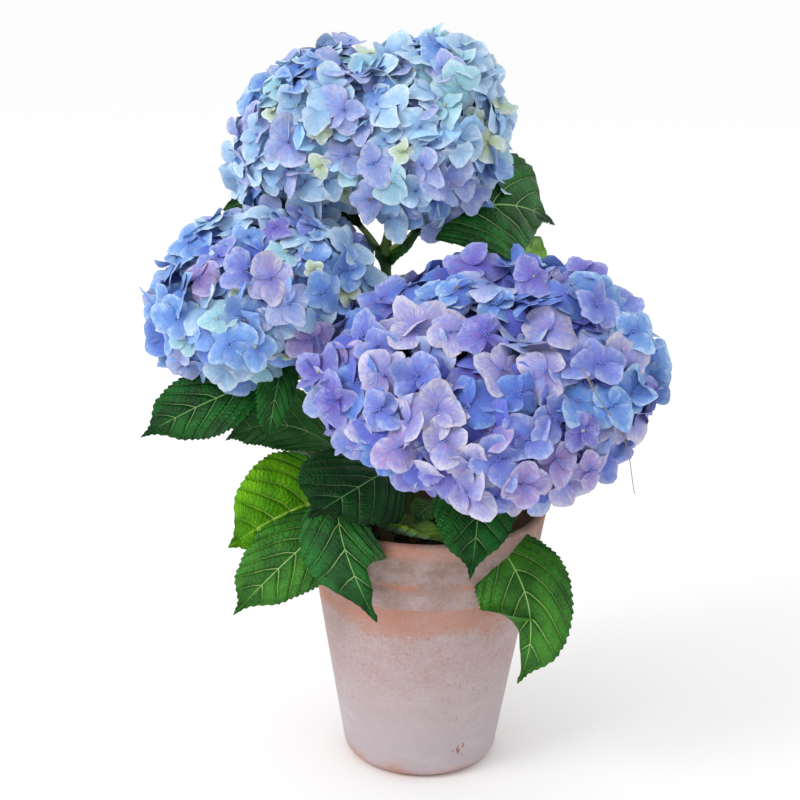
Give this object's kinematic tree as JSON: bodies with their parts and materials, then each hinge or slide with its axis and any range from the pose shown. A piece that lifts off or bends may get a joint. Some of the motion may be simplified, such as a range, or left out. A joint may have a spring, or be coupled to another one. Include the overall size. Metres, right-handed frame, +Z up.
{
  "type": "potted mophead hydrangea shrub",
  "caption": "Small flowering shrub in a clay pot: upright stems with broad toothed leaves end in large rounded blue and violet flower heads.",
  "frame": {"origin": "centre of the flat underside of the clay pot, at the level of whatever it stands on", "axes": "+Z up along the axis of the pot; -Y towards the side that the largest flower head leans to; +X to the right seen from that side"},
  "size_m": [0.36, 0.3322, 0.5408],
  "materials": {
    "terracotta": "matt unglazed clay with a pale lime bloom",
    "potting_soil": "matt, damp and crumbly",
    "stem": "smooth green shoot, browner towards the foot",
    "leaf": "satin upper side with paler veins, matt pale underside",
    "flower_violet": "matt velvety petals",
    "flower_blue": "matt velvety petals",
    "flower_pale": "matt velvety petals"
  },
  "bodies": {
    "root": {"clay_pot": "terracotta", "head_left": "flower_blue", "head_right": "flower_violet", "head_top_left": "flower_pale", "head_top_right": "flower_pale", "leaf_back_far_right": "leaf", "leaf_back_high": "leaf", "leaf_back_left": "leaf", "leaf_back_low": "leaf", "leaf_back_low_left": "leaf", "leaf_back_middle": "leaf", "leaf_back_rear": "leaf", "leaf_back_right": "leaf", "leaf_back_side": "leaf", "leaf_back_top": "leaf", "leaf_front_dark": "leaf", "leaf_front_left": "leaf", "leaf_front_right": "leaf", "leaf_inner": "leaf", "leaf_left_far": "leaf", "leaf_left_hanging": "leaf", "leaf_left_middle": "leaf", "leaf_low_left": "leaf", "leaf_low_left_bright": "leaf", "leaf_right_low": "leaf", "leaf_rim": "leaf", "leaf_side_low_right": "leaf", "leaf_side_right": "leaf", "leaf_top_left": "leaf", "leaf_top_right": "leaf", "leaf_young": "leaf", "potting_soil": "potting_soil", "stem_left": "stem", "stem_middle": "stem", "stem_right": "stem"}
  },
  "joints": []
}
